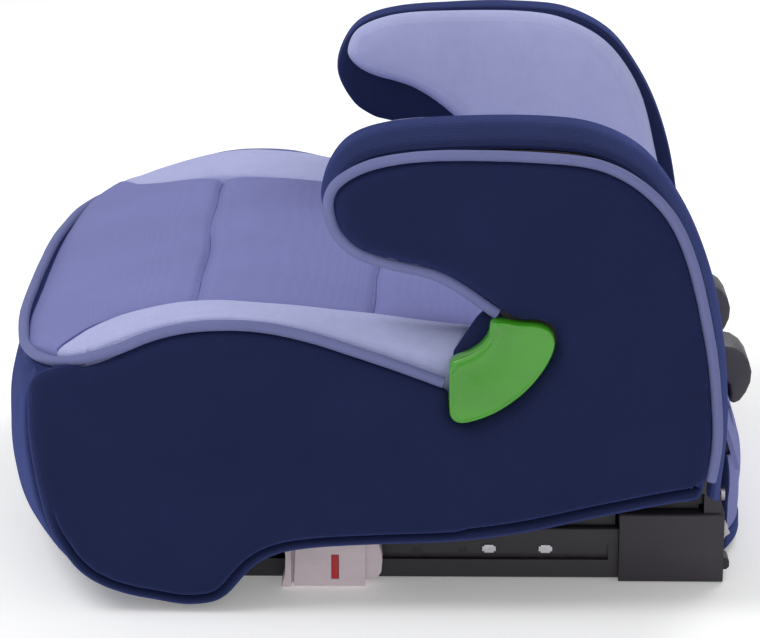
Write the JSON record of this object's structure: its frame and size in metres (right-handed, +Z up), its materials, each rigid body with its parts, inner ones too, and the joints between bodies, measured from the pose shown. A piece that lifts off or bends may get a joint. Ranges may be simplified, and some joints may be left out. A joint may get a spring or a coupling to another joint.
{
  "type": "child booster seat",
  "caption": "Backless child booster seat: quilted seat, padded armrests with belt guides, and sliding anchor connectors with release grips at the rear.",
  "frame": {"origin": "on the floor plane, under the middle of the seat's bounding box", "axes": "+Y to the rear of the seat (the child faces -Y), +X to the child's left, +Z up"},
  "size_m": [0.425, 0.4366, 0.2708],
  "materials": {
    "navy_fabric": "matte",
    "lilac_fabric": "matte",
    "pale_lilac_fabric": "matte",
    "piping_fabric": "matte",
    "foam": "matte",
    "black_plastic": "satin",
    "green_plastic": "gloss",
    "grey_plastic": "satin",
    "light_plastic": "satin",
    "red_plastic": "satin",
    "rubber": "matte",
    "steel": "satin",
    "bright_steel": "polished"
  },
  "bodies": {
    "seat": {"seat_shell": "black_plastic", "seat_foam": "foam", "centre_panel": "lilac_fabric", "front_pad": "navy_fabric", "rear_flap": "lilac_fabric", "seat_piping": "piping_fabric", "cross_tube": "steel", "front_feet": "rubber", "backrest_hook_left": "black_plastic", "bolster_left": "pale_lilac_fabric", "arm_frame_left": "black_plastic", "arm_core_left": "foam", "arm_gusset_left": "navy_fabric", "arm_lining_left": "pale_lilac_fabric", "arm_piping_left": "piping_fabric", "side_panel_left": "navy_fabric", "belt_guide_left": "green_plastic", "guide_screws_left": "steel", "arm_screws_left": "steel", "anchor_rail_left": "black_plastic", "rail_rivets_left": "light_plastic", "rear_housing_left": "black_plastic", "rail_screws_left": "steel", "backrest_hook_right": "black_plastic", "bolster_right": "pale_lilac_fabric", "arm_frame_right": "black_plastic", "arm_core_right": "foam", "arm_gusset_right": "navy_fabric", "arm_lining_right": "pale_lilac_fabric", "arm_piping_right": "piping_fabric", "side_panel_right": "navy_fabric", "belt_guide_right": "green_plastic", "guide_screws_right": "steel", "arm_screws_right": "steel", "anchor_rail_right": "black_plastic", "rail_rivets_right": "light_plastic", "rear_housing_right": "black_plastic", "rail_screws_right": "steel"},
    "connector_left": {"anchor_arm_left": "steel", "anchor_jaws_left": "steel", "hook_pin_left": "steel", "jaw_tip_left": "black_plastic", "grip_spring_left": "steel"},
    "hook_left": {"anchor_hook_left": "bright_steel"},
    "grip_left": {"release_grip_left": "grey_plastic", "release_rod_left": "steel", "release_mark_left": "red_plastic"},
    "connector_right": {"anchor_arm_right": "steel", "anchor_jaws_right": "steel", "hook_pin_right": "steel", "jaw_tip_right": "black_plastic", "grip_spring_right": "steel"},
    "hook_right": {"anchor_hook_right": "bright_steel"},
    "grip_right": {"release_grip_right": "grey_plastic", "release_rod_right": "steel", "release_mark_right": "red_plastic"}
  },
  "joints": [
    {"name": "connector_slide_left", "type": "slide", "parent": "seat", "child": "connector_left", "axis": [0, 1, 0], "range_m": [0, 0.11]},
    {"name": "grip_pull_left", "type": "slide", "parent": "connector_left", "child": "grip_left", "axis": [0, -1, 0], "range_m": [0, 0.005], "stiffness_N_per_m": 900, "springref_m": -0.004, "deforming": ["grip_spring_left"]},
    {"name": "hook_turn_left", "type": "hinge", "parent": "connector_left", "child": "hook_left", "pos_m": [0.14, 0.1805, 0.0265], "axis": [1, 0, 0], "range_deg": [0, 35]},
    {"name": "connector_slide_right", "type": "slide", "parent": "seat", "child": "connector_right", "axis": [0, 1, 0], "range_m": [0, 0.11]},
    {"name": "grip_pull_right", "type": "slide", "parent": "connector_right", "child": "grip_right", "axis": [0, -1, 0], "range_m": [0, 0.005], "stiffness_N_per_m": 900, "springref_m": -0.004, "deforming": ["grip_spring_right"]},
    {"name": "hook_turn_right", "type": "hinge", "parent": "connector_right", "child": "hook_right", "pos_m": [-0.14, 0.1805, 0.0265], "axis": [1, 0, 0], "range_deg": [0, 35]}
  ],
  "couplings": [
    {"joint": "hook_turn_left", "follows": "grip_pull_left", "rad_per_m": 122},
    {"joint": "hook_turn_right", "follows": "grip_pull_right", "rad_per_m": 122}
  ]
}
